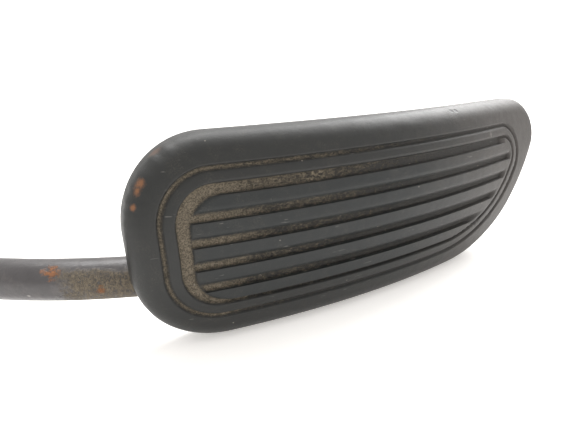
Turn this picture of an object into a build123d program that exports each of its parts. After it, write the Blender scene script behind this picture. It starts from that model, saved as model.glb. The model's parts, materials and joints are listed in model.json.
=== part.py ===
"""Accelerator pedal: a ribbed, bowed tread pad hinged on a bent round rod that pivots in a bolted bracket.

Row frame, in millimetres: the origin is the centre of the bolt pattern on the mounting face, +Y points into
the wall that the bracket is bolted to, +X runs along the pedal from the pivot to the toe end of the pad, and
+Z runs along the pivot axis. The foot pushes the pad towards +Y.
"""

from build123d import *
from math import atan2, cos, degrees, hypot, radians, sin, sqrt, tan
import os

os.makedirs("parts", exist_ok=True)

# ---------------------------------------------------------------- driving dimensions

# clearances
RUNNING_CLEARANCE = 0.05     # radial, a shaft in a plain bush
SLIP_CLEARANCE = 0.15        # radial, a loose ring on a shaft
FACE_GAP = 0.2               # axial, between faces that turn past each other
CONTACT_GAP = 0.3            # between bodies that only touch at a stop

# mounting plate
PLATE_THICKNESS = 2.5
BOLT_SPACING_X = 54.0
BOLT_SPACING_Z = 44.0
BOLT_HOLE_RADIUS = 3.3
PLATE_MARGIN = 9.0           # from a bolt hole's centre to the plate's edge
CUSHION_MARGIN = 4.0         # from the cushion's rim to the plate's edge
PLATE_CORNER_RADIUS = 8.0

# pivot channel
SHEET = 2.5
CHANNEL_GAP = 44.0           # between the inner faces of the two ears
EAR_ROOT_WIDTH = 36.0
EAR_TIP_RADIUS = 13.0
EAR_ROOT_HEIGHT = 5.0        # full-width foot of each ear, above the web
PIVOT_STANDOFF = 30.0        # from the mounting face to the pivot axis
WELD_LEG = 2.2
WELD_TOE_SLOPE = 1.9         # how far a weld's cone spreads at its foot, in legs

# pivot shaft and what is on it
SHAFT_RADIUS = 5.0
BUSH_WALL = 1.5
BUSH_FLANGE_WALL = 4.0
BUSH_FLANGE_THICKNESS = 1.5
BUSH_PROUD = 0.4             # the bush's sleeve past the ear's outer face
WASHER_THICKNESS = 1.0
WASHER_WALL = 3.2
CLIP_THICKNESS = 1.0
CLIP_GROOVE_DEPTH = 1.0
CLIP_WALL = 3.0
CLIP_MOUTH_ANGLE = 70.0
SHAFT_END_LENGTH = 2.5       # past the clip
SHAFT_CHAMFER = 0.8

# return spring
SPRING_SLEEVE_WALL = 2.0
SPRING_WIRE_RADIUS = 1.2
SPRING_TURNS = 3
SPRING_PITCH = 2.6
SPRING_INNER_CLEARANCE = 0.7
SPRING_REACH = 32.0          # along the rod, from the pivot to the hook

# rod
ROD_RADIUS = 5.0
ROD_UPPER_ANGLE = 12.0       # below +X, from the pivot to the first bend
ROD_UPPER_LENGTH = 66.0
ROD_UPPER_DROP = 14.0        # along Z, from the pivot to the first bend
ROD_BEND_UPPER_RADIUS = 40.0
ROD_BEND_MIDDLE_RADIUS = 70.0
ROD_BEND_LOWER_RADIUS = 25.0

# tread pad, measured from its crest: the crest is the most forward point of the tread
CREST_X = 235.0
CREST_Y = -147.0
CREST_Z = -7.0
PAD_HEEL = 60.6              # crest to the heel end
PAD_TOE = 84.5               # crest to the toe end
PAD_UPPER = 26.0             # crest to the long upper edge
PAD_LOWER = 24.0             # crest to the long lower edge
HEEL_CORNER_RADIUS = 20.7
TOE_TIP_RADIUS = 10.6
TOE_CUT_ANGLE = 50.8         # of the slanted toe edge to the pad's length
TOE_BLEND_RADIUS = 42.0
BOW_RADIUS = 247.0           # along the pad, over its middle
BOW_HALF_SPAN = 53.7         # straight beyond this, along the path
CROWN_RADIUS = 65.0          # across the pad
SKIN = 3.5                   # rubber in front of the backing plate
SECTION_MARGIN = 4.0         # the swept section past the pad's upper edge
RIM_DEPTH = 7.5
RIM_WALL = 3.0
RIM_ROUND = 5.0              # radius of the front edge
BEAD = 1.3                   # the lip that holds the backing plate
FACING = 0.6                 # least lean towards -Y of a face that counts as the front

# grooves of the tread: two rings round the ribs, measured to the outer edge of the outer ring
GROOVE_DEPTH = 1.2
RING_HEEL = 54.7
RING_TOE = 68.9
RING_UPPER = 19.4
RING_LOWER = 17.1
RING_HEEL_RADIUS = 13.1
RING_TIP_RADIUS = 9.9
RING_BLEND_RADIUS = 48.8
OUTER_GROOVE_WIDTH = 1.5
LAND_WIDTH = 2.3
RING_GROOVE_WIDTH = 1.1
RIB_PITCH = 5.5
RIB_COUNT = 5
GROOVE_WIDTH = 2.6
TOP_RIB_EDGE = 12.9          # crest to the upper edge of the top rib
RIB_HEEL = 47.6              # crest to the rounded heel ends of the ribs
RIB_HEEL_RADIUS = 7.6
GROOVE_TOE_INSET = 1.2       # from the inner ring to the closed toe ends of the grooves

# backing plate and its hinge bracket
BACKING = 1.5
BACKING_EDGE_GAP = 0.2
BRACKET_SHEET = 2.0
BRACKET_HALF_LENGTH = 15.0
BRACKET_EAR_RADIUS = 8.0
BRACKET_CORNER_RADIUS = 3.0
RIVET_RADIUS = 2.0
RIVET_HEAD_RADIUS = 3.6
RIVET_HEAD_HEIGHT = 1.4
RIVET_X = 11.0
RIVET_UPPER_Z = 4.8
RIVET_LOWER_Z = -12.0

# pad hinge
PIN_DEPTH = 17.5             # behind the crest
ROD_HEIGHT_AT_PAD = -9.2     # the rod's axis, from the crest
PIN_RADIUS = 4.0
PIN_HEAD_RADIUS = 6.0
PIN_HEAD_THICKNESS = 1.6
PIN_END_LENGTH = 1.5         # past the clip
PIN_CHAMFER = 0.6
TUBE_WALL = 1.5
TUBE_LENGTH = 13.0
HINGE_BUSH_WALL = 1.4
HINGE_FLANGE = 1.0
PAD_SPRING_WIRE_RADIUS = 0.8
PAD_SPRING_TURNS = 4
PAD_SPRING_PITCH = 1.8
PAD_SPRING_REACH = 16.0      # along the rod, from the pin to the hook
PAD_SPRING_SPACE = 11.6      # between the hinge's flange and the upper ear

# visible run of the rod, measured from the crest: distance towards the heel and depth behind the crest
ROD_BEND_X = -72.5
ROD_BEND_DEPTH = 23.8
ROD_BEND_HEIGHT = -6.6
ROD_SLOPE_AT_PAD = 12.0

# stop sleeve on the rod, behind the pad's heel
STOP_SLEEVE_WALL = 1.2
STOP_SLEEVE_START = -53.0
STOP_SLEEVE_END = -46.5

# cable lever
LEVER_THICKNESS = 3.0
LEVER_HUB_RADIUS = 9.0
LEVER_LENGTH = 58.0
LEVER_TIP_RADIUS = 7.0
CABLE_HOLE_RADIUS = 3.2
CABLE_BORE_RADIUS = 1.2
RETAINER_FLANGE = 1.4
RETAINER_FLANGE_THICKNESS = 1.2
TAB_DISTANCE = 42.0          # pivot to the stop bolt
TAB_Y = 6.0                  # the tab's middle, from the pivot axis towards the plate
TAB_HALF_WIDTH = 7.0
TAB_LENGTH = 13.0
STOP_BOLT_RADIUS = 3.0
STOP_BOLT_HEAD_ACROSS = 10.0
STOP_BOLT_HEAD_HEIGHT = 4.0
LOCK_NUT_HEIGHT = 5.0
CUSHION_RADIUS = 6.0
CUSHION_HEIGHT = 7.0
CUSHION_STEM_RADIUS = 2.8
CUSHION_ROUND = 2.0

# ---------------------------------------------------------------- shared helpers

PIVOT_Y = -PIVOT_STANDOFF
EAR_INNER = CHANNEL_GAP / 2
EAR_OUTER = EAR_INNER + SHEET
WASHER_INNER = EAR_OUTER + BUSH_PROUD + FACE_GAP
CLIP_LOW = WASHER_INNER + WASHER_THICKNESS
LEVER_TOP = -CLIP_LOW
LEVER_BOTTOM = LEVER_TOP - LEVER_THICKNESS
STOP_Z = LEVER_TOP + TAB_LENGTH / 2
SLEEVE_LOW = ROD_RADIUS + WELD_LEG + FACE_GAP
SLEEVE_HIGH = EAR_INNER - BUSH_FLANGE_THICKNESS - FACE_GAP
TUBE_RADIUS = PIN_RADIUS + RUNNING_CLEARANCE + HINGE_BUSH_WALL + TUBE_WALL
CREST = Vector(CREST_X, CREST_Y, CREST_Z)


def at_crest(x, depth, z):
    """A point given by its distances from the pad's crest."""
    return CREST + Vector(x, depth, z)


def tube(radius, hole, low, high, x=0.0, y=0.0):
    """A ring along Z between two heights."""
    height = high - low
    ring = Pos(x, y, (low + high) / 2) * Cylinder(radius, height)
    if hole > 0:
        ring -= Pos(x, y, (low + high) / 2) * Cylinder(hole, height)
    return ring


def clip_ring(x, y, low, shaft_radius):
    """An open retaining ring that sits in a groove of a shaft."""
    groove = shaft_radius - CLIP_GROOVE_DEPTH
    ring = tube(shaft_radius + CLIP_WALL, groove, low, low + CLIP_THICKNESS, x, y)
    reach = 3 * shaft_radius
    half = radians(CLIP_MOUTH_ANGLE / 2)
    mouth = make_face(Polyline((0, 0), (reach, -reach * tan(half)), (reach, reach * tan(half)), close=True))
    mouth = extrude(mouth, amount=2 * CLIP_THICKNESS, both=True)
    return ring - Pos(x, y, low) * mouth


def rod_between(start, end, radius):
    """A round bar between two points."""
    plane = Plane(origin=start, z_dir=end - start)
    return extrude(plane * Circle(radius), amount=(end - start).length)


def hexagon(across, height):
    """A hexagonal prism along Z, standing on the XY plane."""
    return extrude(RegularPolygon(across / 2, 6, major_radius=False), amount=height)


def facing_y(x, y, z):
    """A place whose local +Z points along -Y, out of the mounting face."""
    return Location(Plane(origin=(x, y, z), x_dir=(1, 0, 0), z_dir=(0, -1, 0)))


def part_turn(start, end):
    """The part of a turn that takes a coil from one angle to another."""
    return ((end - start) % 360) / 360


def torsion_spring(centre, wire, mean, pitch, turns, sweep_start, upper_leg, lower_leg, hook):
    """A coil along +Z with a straight leg at each end; the lower leg ends in a hook along -Z."""
    coil_path = Pos(centre) * Rot(0, 0, sweep_start) * Helix(pitch, pitch * turns, mean)
    start, end = coil_path @ 0, coil_path @ 1
    start_dir, end_dir = coil_path % 0, coil_path % 1
    coil = sweep(Plane(origin=start, z_dir=start_dir) * Circle(wire), path=coil_path, is_frenet=True)
    lower_end = start - start_dir * lower_leg
    upper = rod_between(end, end + end_dir * upper_leg, wire)
    lower = rod_between(lower_end, start, wire)
    corner = Pos(lower_end) * Sphere(wire)
    tail = rod_between(lower_end, lower_end - Vector(0, 0, hook), wire)
    return [coil, upper, lower + corner + tail]


# ---------------------------------------------------------------- pad surface

def bow_path():
    """The line that the pad follows along its length: straight, arc, straight, through the crest."""
    half = BOW_HALF_SPAN / BOW_RADIUS
    end_x = BOW_RADIUS * sin(half)
    end_y = BOW_RADIUS * (1 - cos(half))
    heel_run = PAD_HEEL + RIM_DEPTH - end_x
    toe_run = PAD_TOE + RIM_DEPTH - end_x
    slope = tan(half)
    heel = at_crest(-end_x - heel_run, end_y + heel_run * slope, 0)
    heel_tangent = at_crest(-end_x, end_y, 0)
    toe_tangent = at_crest(end_x, end_y, 0)
    toe = at_crest(end_x + toe_run, end_y + toe_run * slope, 0)
    return Line(heel, heel_tangent) + ThreePointArc(heel_tangent, CREST, toe_tangent) + Line(toe_tangent, toe)


BOW = bow_path()


def crown_arc(depth):
    """The arc across the pad at a depth behind the tread surface, as three points."""
    half_width = PAD_UPPER + SECTION_MARGIN
    drop = CROWN_RADIUS - sqrt((CROWN_RADIUS - depth) ** 2 - half_width**2)
    return (-half_width, drop), (0, depth), (half_width, drop)


def swept(edges):
    """The closed section across the pad, carried along the bow."""
    section = Plane(origin=BOW @ 0, x_dir=(0, 0, -1), z_dir=BOW % 0)
    return sweep(section * make_face(edges), path=BOW)


def bowed(front, back):
    """The layer between two depths behind the tread surface, over the whole pad."""
    low = crown_arc(front)
    high = crown_arc(back)
    return swept(
        [
            ThreePointArc(*low),
            Line(low[2], high[2]),
            ThreePointArc(*reversed(high)),
            Line(high[0], low[0]),
        ]
    )


def behind(front):
    """Everything from a depth behind the tread surface to a flat level well behind the pad's hinge."""
    low = crown_arc(front)
    level = 3 * PIN_DEPTH
    return swept(
        [
            ThreePointArc(*low),
            Polyline(low[2], (low[2][0], level), (low[0][0], level), low[0]),
        ]
    )


def layer_depth(depth, x, z):
    """How far behind the crest a layer lies at a place near the middle of the pad."""
    bow = BOW_RADIUS - depth - sqrt((BOW_RADIUS - depth) ** 2 - x**2)
    crown = CROWN_RADIUS - depth - sqrt((CROWN_RADIUS - depth) ** 2 - z**2)
    return depth + bow + crown


def rounded_plan(heel, toe, upper, lower, heel_radius, tip_radius, blend_radius):
    """A plan face in crest coordinates: a long rectangle with round heel corners and a slanted toe end."""
    cut = radians(TOE_CUT_ANGLE)
    tip_x = toe - tip_radius
    tip_y = upper - tip_radius
    edge_x = tip_x + tip_radius * sin(cut)
    edge_y = tip_y - tip_radius * cos(cut)
    top_toe_x = edge_x + (upper - edge_y) / tan(cut)
    bottom_toe_x = edge_x - (edge_y + lower) / tan(cut)
    corners = [(-heel, -lower), (bottom_toe_x, -lower), (top_toe_x, upper), (-heel, upper)]
    radii = [heel_radius, blend_radius, tip_radius, heel_radius]
    return make_face(FilletPolyline(*corners, radius=radii, close=True))


def pad_outline(inset=0.0):
    """The pad's outline in plan, or one parallel to it, inside it."""
    face = rounded_plan(
        PAD_HEEL, PAD_TOE, PAD_UPPER, PAD_LOWER, HEEL_CORNER_RADIUS, TOE_TIP_RADIUS, TOE_BLEND_RADIUS
    )
    if inset > 0:
        face = offset(face, amount=-inset)
    return face


def ring_outline(inset=0.0):
    """The outer edge of the outer ring groove in plan, or one parallel to it, inside it."""
    face = rounded_plan(
        RING_HEEL, RING_TOE, RING_UPPER, RING_LOWER, RING_HEEL_RADIUS, RING_TIP_RADIUS, RING_BLEND_RADIUS
    )
    if inset > 0:
        face = offset(face, amount=-inset)
    return face


def pad_prism(face):
    """A plan face of the pad as a prism along Y, right through the pad."""
    reach = PAD_HEEL + PAD_UPPER
    plan = Plane(origin=CREST - Vector(0, reach / 2, 0), x_dir=(1, 0, 0), z_dir=(0, -1, 0))
    return extrude(plan * face, amount=-reach - reach / 2)


def groove_plan():
    """Everything that is sunk into the tread, in plan."""
    outer = ring_outline() - ring_outline(OUTER_GROOVE_WIDTH)
    land_edge = OUTER_GROOVE_WIDTH + LAND_WIDTH
    inside = ring_outline(land_edge)
    ring = inside - ring_outline(land_edge + RING_GROOVE_WIDTH)
    rib_edge = TOP_RIB_EDGE - RIB_COUNT * RIB_PITCH + GROOVE_WIDTH
    rib_height = TOP_RIB_EDGE - rib_edge
    ribs = Pos(PAD_TOE - RIB_HEEL, rib_edge + rib_height / 2) * RectangleRounded(
        2 * PAD_TOE, rib_height, RIB_HEEL_RADIUS
    )
    heel_box = Pos(-PAD_HEEL, 0) * Rectangle(2 * (PAD_HEEL - RIB_HEEL + RIB_HEEL_RADIUS), 2 * PAD_UPPER)
    heel_side = inside & heel_box
    toe_side = ring_outline(land_edge + RING_GROOVE_WIDTH + GROOVE_TOE_INSET)
    top_end = RING_TOE - RING_TIP_RADIUS
    top_side = inside & Pos(top_end - PAD_TOE, 0) * Rectangle(2 * PAD_TOE, 2 * PAD_UPPER)
    sunk = [outer, ring, heel_side - ribs]
    for index in range(RIB_COUNT):
        low = TOP_RIB_EDGE - index * RIB_PITCH
        strip = Pos(0, low + GROOVE_WIDTH / 2) * Rectangle(3 * PAD_TOE, GROOVE_WIDTH)
        limit = heel_side + (toe_side if index else top_side)
        sunk.append(strip & limit)
    return sunk


# ---------------------------------------------------------------- bracket

def make_mounting_plate():
    """The flat plate that is bolted to the wall, with a longer side under the stop bolt."""
    high_x = BOLT_SPACING_X / 2 + PLATE_MARGIN
    low_x = -TAB_DISTANCE - CUSHION_RADIUS - CUSHION_MARGIN
    half_z = BOLT_SPACING_Z / 2 + PLATE_MARGIN
    outline = Pos((low_x + high_x) / 2, 0) * RectangleRounded(high_x - low_x, 2 * half_z, PLATE_CORNER_RADIUS)
    for sx in (-1, 1):
        for sz in (-1, 1):
            outline -= Pos(sx * BOLT_SPACING_X / 2, sz * BOLT_SPACING_Z / 2) * Circle(BOLT_HOLE_RADIUS)
    outline -= Pos(-TAB_DISTANCE, STOP_Z) * Circle(CUSHION_STEM_RADIUS)
    return extrude(facing_y(0, 0, 0) * outline, amount=PLATE_THICKNESS)


def make_pivot_channel():
    """The U-shaped channel whose two ears carry the pivot shaft."""
    web_y = -PLATE_THICKNESS
    depth = PIVOT_STANDOFF + EAR_TIP_RADIUS - PLATE_THICKNESS
    block = Pos(0, web_y - depth / 2, 0) * Box(EAR_ROOT_WIDTH, depth, 2 * EAR_OUTER)
    block = fillet(block.edges().filter_by(Axis.X).group_by(Axis.Y)[-1], 2 * SHEET)
    inner_depth = depth - SHEET
    hollow = Pos(0, web_y - SHEET - inner_depth / 2, 0) * Box(EAR_ROOT_WIDTH, inner_depth, CHANNEL_GAP)
    hollow = fillet(hollow.edges().filter_by(Axis.X).group_by(Axis.Y)[-1], SHEET)
    half = EAR_ROOT_WIDTH / 2
    shoulder = PLATE_THICKNESS + SHEET + EAR_ROOT_HEIGHT
    profile = make_face(
        Polyline(
            (-half, 0),
            (half, 0),
            (half, -shoulder),
            (EAR_TIP_RADIUS, PIVOT_Y),
            (-EAR_TIP_RADIUS, PIVOT_Y),
            (-half, -shoulder),
            close=True,
        )
    )
    profile += Pos(0, PIVOT_Y) * Circle(EAR_TIP_RADIUS)
    profile -= Pos(0, PIVOT_Y) * Circle(SHAFT_RADIUS + RUNNING_CLEARANCE + BUSH_WALL)
    return (block - hollow) & extrude(profile, amount=EAR_OUTER, both=True)


def make_channel_welds():
    """Two fillet welds along the channel's sides, on the mounting plate."""
    y = -PLATE_THICKNESS
    root = EAR_OUTER - WELD_LEG
    welds = []
    for side in (-1, 1):
        corners = ((y, side * root), (y, side * (EAR_OUTER + WELD_LEG)), (y - WELD_LEG, side * EAR_OUTER))
        triangle = make_face(Polyline(*corners, close=True))
        bar = extrude(Plane.YZ * triangle, amount=EAR_ROOT_WIDTH / 2 - WELD_LEG, both=True)
        welds.append(bar - CHANNEL)
    return welds


def make_pivot_bush(side):
    """A flanged nylon bush, pressed into an ear from the inside."""
    bore = SHAFT_RADIUS + RUNNING_CLEARANCE
    inner = side * (EAR_INNER - BUSH_FLANGE_THICKNESS)
    face = side * EAR_INNER
    outer = side * (EAR_OUTER + BUSH_PROUD)
    sleeve = tube(bore + BUSH_WALL, bore, min(inner, outer), max(inner, outer), y=PIVOT_Y)
    flange = tube(bore + BUSH_FLANGE_WALL, bore, min(inner, face), max(inner, face), y=PIVOT_Y)
    return sleeve + flange


def make_stop_cushion():
    """A rubber buffer that is plugged into the mounting plate."""
    head = Cylinder(CUSHION_RADIUS, CUSHION_HEIGHT, align=(Align.CENTER, Align.CENTER, Align.MIN))
    head = fillet(head.edges().sort_by(Axis.Z)[-1], CUSHION_ROUND)
    stem = Pos(0, 0, -PLATE_THICKNESS / 2) * Cylinder(CUSHION_STEM_RADIUS, PLATE_THICKNESS)
    return facing_y(-TAB_DISTANCE, -PLATE_THICKNESS, STOP_Z) * (head + stem)


# ---------------------------------------------------------------- pedal

def rod_points():
    """The corners of the rod's axis, from the pivot to the pad's hinge."""
    fall = radians(ROD_UPPER_ANGLE)
    pivot = Vector(0, PIVOT_Y, 0)
    first = pivot + Vector(ROD_UPPER_LENGTH * cos(fall), -ROD_UPPER_LENGTH * sin(fall), -ROD_UPPER_DROP)
    second = at_crest(ROD_BEND_X, ROD_BEND_DEPTH, ROD_BEND_HEIGHT)
    straightens_x = ROD_BEND_X + (ROD_BEND_DEPTH - PIN_DEPTH) / tan(radians(ROD_SLOPE_AT_PAD))
    third = at_crest(straightens_x, PIN_DEPTH, ROD_HEIGHT_AT_PAD)
    hinge = at_crest(0, PIN_DEPTH, ROD_HEIGHT_AT_PAD)
    return [pivot, first, second, third, hinge]


ROD_POINTS = rod_points()


def make_pedal_rod():
    """The bent round rod, shaped at each end to the round piece that it is welded to."""
    radii = [ROD_BEND_UPPER_RADIUS, ROD_BEND_MIDDLE_RADIUS, ROD_BEND_LOWER_RADIUS]
    path = FilletPolyline(*ROD_POINTS, radius=radii)
    rod = sweep(Plane(origin=path @ 0, z_dir=path % 0) * Circle(ROD_RADIUS), path=path)
    rod -= tube(SHAFT_RADIUS, 0, -EAR_OUTER, EAR_OUTER, y=PIVOT_Y)
    hinge = ROD_POINTS[-1]
    rod -= tube(TUBE_RADIUS, 0, hinge.Z - TUBE_LENGTH, hinge.Z + TUBE_LENGTH, hinge.X, hinge.Y)
    return rod.solids().sort_by(SortBy.VOLUME)[-1]


def weld_collar(point, direction, cross_radius, cross_z):
    """A fillet weld round the rod, where it meets a round piece that stands along Z."""
    reach = cross_radius + WELD_LEG
    along = Plane(origin=point, z_dir=direction)
    collar = along * extrude(Circle(ROD_RADIUS + WELD_LEG), amount=reach)
    foot = ROD_RADIUS + WELD_LEG * WELD_TOE_SLOPE
    cone = Cone(foot, ROD_RADIUS, reach + CONTACT_GAP, align=(Align.CENTER, Align.CENTER, Align.MIN))
    collar &= along * cone
    collar -= tube(cross_radius, 0, cross_z - 3 * ROD_RADIUS, cross_z + 3 * ROD_RADIUS, point.X, point.Y)
    collar -= ROD
    return collar.solids().sort_by(SortBy.VOLUME)[-1]


def make_pivot_shaft():
    """The plain shaft, with a groove for the clip at its upper end."""
    top = CLIP_LOW + CLIP_THICKNESS + SHAFT_END_LENGTH
    bottom = LEVER_BOTTOM - WELD_LEG
    shaft = tube(SHAFT_RADIUS, 0, bottom, top, y=PIVOT_Y)
    shaft = chamfer(shaft.edges().sort_by(Axis.Z)[-1], SHAFT_CHAMFER)
    shaft -= tube(SHAFT_RADIUS + 1, SHAFT_RADIUS - CLIP_GROOVE_DEPTH, CLIP_LOW, CLIP_LOW + CLIP_THICKNESS, y=PIVOT_Y)
    return shaft


def make_shaft_washers():
    """One washer outside each ear."""
    hole = SHAFT_RADIUS + SLIP_CLEARANCE
    rings = []
    for low in (WASHER_INNER, -WASHER_INNER - WASHER_THICKNESS):
        rings.append(tube(SHAFT_RADIUS + WASHER_WALL, hole, low, low + WASHER_THICKNESS, y=PIVOT_Y))
    return rings


def make_spring_sleeve():
    """The nylon spool that the return spring is wound on."""
    hole = SHAFT_RADIUS + RUNNING_CLEARANCE
    return tube(hole + SPRING_SLEEVE_WALL, hole, SLEEVE_LOW, SLEEVE_HIGH, y=PIVOT_Y)


def make_return_spring():
    """The spring that lifts the pedal: its upper leg bears on the channel and its hook on the rod."""
    mean = SHAFT_RADIUS + RUNNING_CLEARANCE + SPRING_SLEEVE_WALL + SPRING_INNER_CLEARANCE + SPRING_WIRE_RADIUS
    low = SLEEVE_LOW + SPRING_WIRE_RADIUS + FACE_GAP
    fall = radians(ROD_UPPER_ANGLE)
    offset_from_rod = ROD_RADIUS + SPRING_WIRE_RADIUS + CONTACT_GAP
    hook_x = SPRING_REACH * cos(fall) + offset_from_rod * sin(fall)
    hook_y = -SPRING_REACH * sin(fall) + offset_from_rod * cos(fall)
    reach = hypot(hook_x, hook_y)
    leg = sqrt(reach**2 - mean**2)
    # the lower leg leaves the coil backwards, so its direction is against the coil's turning sense
    sweep_start = degrees(atan2(hook_y, hook_x) + atan2(leg, mean))
    upper_leg = PIVOT_STANDOFF - PLATE_THICKNESS - SHEET - 2 * CONTACT_GAP
    rod_fall = ROD_UPPER_DROP * SPRING_REACH / ROD_UPPER_LENGTH
    return torsion_spring(
        (0, PIVOT_Y, low),
        SPRING_WIRE_RADIUS,
        mean,
        SPRING_PITCH,
        SPRING_TURNS + part_turn(sweep_start, 0),
        sweep_start,
        upper_leg,
        leg,
        low + rod_fall + ROD_RADIUS / 2,
    )


def make_cable_lever():
    """The flat lever on the shaft's lower end, with a bent tab for the stop bolt."""
    arm = make_face(
        Polyline(
            (0, LEVER_HUB_RADIUS),
            (-LEVER_LENGTH, LEVER_TIP_RADIUS),
            (-LEVER_LENGTH, -LEVER_TIP_RADIUS),
            (0, -LEVER_HUB_RADIUS),
            close=True,
        )
    )
    arm += Circle(LEVER_HUB_RADIUS)
    arm += Pos(-LEVER_LENGTH, 0) * Circle(LEVER_TIP_RADIUS)
    arm -= Circle(SHAFT_RADIUS)
    arm -= Pos(-LEVER_LENGTH, 0) * Circle(CABLE_HOLE_RADIUS)
    lever = extrude(arm, amount=-LEVER_THICKNESS)
    tab_height = TAB_LENGTH + LEVER_THICKNESS
    tab = Pos(-TAB_DISTANCE, TAB_Y, tab_height / 2 - LEVER_THICKNESS) * Box(
        2 * TAB_HALF_WIDTH, LEVER_THICKNESS, tab_height
    )
    tab = fillet(tab.edges().filter_by(Axis.Y).group_by(Axis.Z)[-1], TAB_HALF_WIDTH / 2)
    lever = Pos(0, PIVOT_Y, LEVER_TOP) * (lever + tab)
    bolt_hole = facing_y(-TAB_DISTANCE, PIVOT_Y, STOP_Z) * Cylinder(STOP_BOLT_RADIUS, 4 * LEVER_HUB_RADIUS)
    return lever - bolt_hole


def make_stop_bolt():
    """The hexagon bolt whose end rests on the cushion."""
    tip = -(PLATE_THICKNESS + CUSHION_HEIGHT + CONTACT_GAP)
    seat = PIVOT_Y + TAB_Y - LEVER_THICKNESS / 2
    shank = extrude(Circle(STOP_BOLT_RADIUS), amount=tip - seat)
    shank = chamfer(shank.edges().sort_by(Axis.Z)[0], SHAFT_CHAMFER)
    head = Pos(0, 0, tip - seat) * hexagon(STOP_BOLT_HEAD_ACROSS, STOP_BOLT_HEAD_HEIGHT)
    return facing_y(-TAB_DISTANCE, tip, STOP_Z) * (shank + head)


def make_stop_lock_nut():
    """The nut that locks the stop bolt against the tab."""
    nut = hexagon(STOP_BOLT_HEAD_ACROSS, LOCK_NUT_HEIGHT) - Pos(0, 0, LOCK_NUT_HEIGHT / 2) * Cylinder(
        STOP_BOLT_RADIUS, LOCK_NUT_HEIGHT
    )
    face = PIVOT_Y + TAB_Y + LEVER_THICKNESS / 2
    return facing_y(-TAB_DISTANCE, face + LOCK_NUT_HEIGHT, STOP_Z) * nut


def make_cable_retainer():
    """The nylon grommet that holds a throttle cable's end in the lever."""
    x = -LEVER_LENGTH
    body = tube(CABLE_HOLE_RADIUS, CABLE_BORE_RADIUS, LEVER_BOTTOM - RETAINER_FLANGE_THICKNESS,
                LEVER_TOP + RETAINER_FLANGE_THICKNESS, x, PIVOT_Y)
    flange_radius = CABLE_HOLE_RADIUS + RETAINER_FLANGE
    for low in (LEVER_BOTTOM - RETAINER_FLANGE_THICKNESS, LEVER_TOP):
        body += tube(flange_radius, CABLE_BORE_RADIUS, low, low + RETAINER_FLANGE_THICKNESS, x, PIVOT_Y)
    return body


# ---------------------------------------------------------------- pad hinge, on the rod

HINGE = ROD_POINTS[-1]
TUBE_LOW = HINGE.Z - TUBE_LENGTH / 2
TUBE_HIGH = HINGE.Z + TUBE_LENGTH / 2
BUSH_BORE = PIN_RADIUS + RUNNING_CLEARANCE
LOWER_EAR_INNER = TUBE_LOW - HINGE_FLANGE - FACE_GAP
UPPER_EAR_INNER = TUBE_HIGH + HINGE_FLANGE + PAD_SPRING_SPACE


def make_hinge_tube():
    """The short tube across the rod's end."""
    return tube(TUBE_RADIUS, BUSH_BORE + HINGE_BUSH_WALL, TUBE_LOW, TUBE_HIGH, HINGE.X, HINGE.Y)


def make_hinge_bush(upper):
    """A flanged nylon bush, pressed into one end of the hinge tube."""
    end = TUBE_HIGH if upper else TUBE_LOW
    out = 1 if upper else -1
    inner = end - out * (TUBE_LENGTH / 2 - FACE_GAP)
    outer = end + out * HINGE_FLANGE
    sleeve = tube(BUSH_BORE + HINGE_BUSH_WALL, BUSH_BORE, min(inner, outer), max(inner, outer), HINGE.X, HINGE.Y)
    flange = tube(TUBE_RADIUS, BUSH_BORE, min(end, outer), max(end, outer), HINGE.X, HINGE.Y)
    return sleeve + flange


def make_pad_stop_sleeve():
    """The rubber sleeve on the rod that the pad's heel rests on."""
    start, end = ROD_POINTS[2], ROD_POINTS[3]
    run = (end - start).normalized()
    low = start + run * ((at_crest(STOP_SLEEVE_START, 0, 0).X - start.X) / run.X)
    high = start + run * ((at_crest(STOP_SLEEVE_END, 0, 0).X - start.X) / run.X)
    sleeve = rod_between(low, high, ROD_RADIUS + STOP_SLEEVE_WALL)
    return sleeve - rod_between(low - run, high + run, ROD_RADIUS)


# ---------------------------------------------------------------- pad

def rounded_shell():
    """The cover's outer shape, with its front edge rounded all the way round."""
    shell = bowed(0, RIM_DEPTH) & pad_prism(pad_outline())
    front = [face for face in shell.faces() if face.normal_at(face.center()).Y < -FACING]
    edges = [edge for face in front for edge in face.edges()]
    centres = [edge.center() for edge in edges]
    rim = []
    for edge, centre in zip(edges, centres):
        shared = sum((centre - other).length < FACE_GAP for other in centres)
        if shared == 1:
            rim.append(edge)
    return fillet(rim, RIM_ROUND)


def make_tread_cover():
    """The moulded cover: a bowed and crowned skin with a deep rim and sunk grooves."""
    cavity = behind(SKIN) & pad_prism(pad_outline(RIM_WALL))
    bead_plan = pad_outline(RIM_WALL) - pad_outline(RIM_WALL + BEAD)
    bead = bowed(SKIN + BACKING, SKIN + BACKING + BEAD) & pad_prism(bead_plan)
    cover = rounded_shell() - cavity + bead
    floor = bowed(-GROOVE_DEPTH, GROOVE_DEPTH)
    for plan in groove_plan():
        for face in plan.faces():
            cover -= floor & pad_prism(face)
    return cover


def make_backing_plate():
    """The pressed steel plate inside the cover."""
    inset = RIM_WALL + BACKING_EDGE_GAP
    plate = bowed(SKIN, SKIN + BACKING) & pad_prism(pad_outline(inset))
    for place in rivet_places():
        plate -= rivet_bar(place, RIVET_RADIUS)
    return plate


def rivet_places():
    """The four rivets, in crest coordinates."""
    places = []
    for x in (-RIVET_X, RIVET_X):
        for z in (RIVET_LOWER_Z, RIVET_UPPER_Z):
            places.append((x, z))
    return places


def rivet_bar(place, radius):
    """A long bar along Y through a rivet's place."""
    x, z = place
    bar = Cylinder(radius, 4 * PIN_DEPTH)
    return facing_y(CREST.X + x, CREST.Y, CREST.Z + z) * bar


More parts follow.
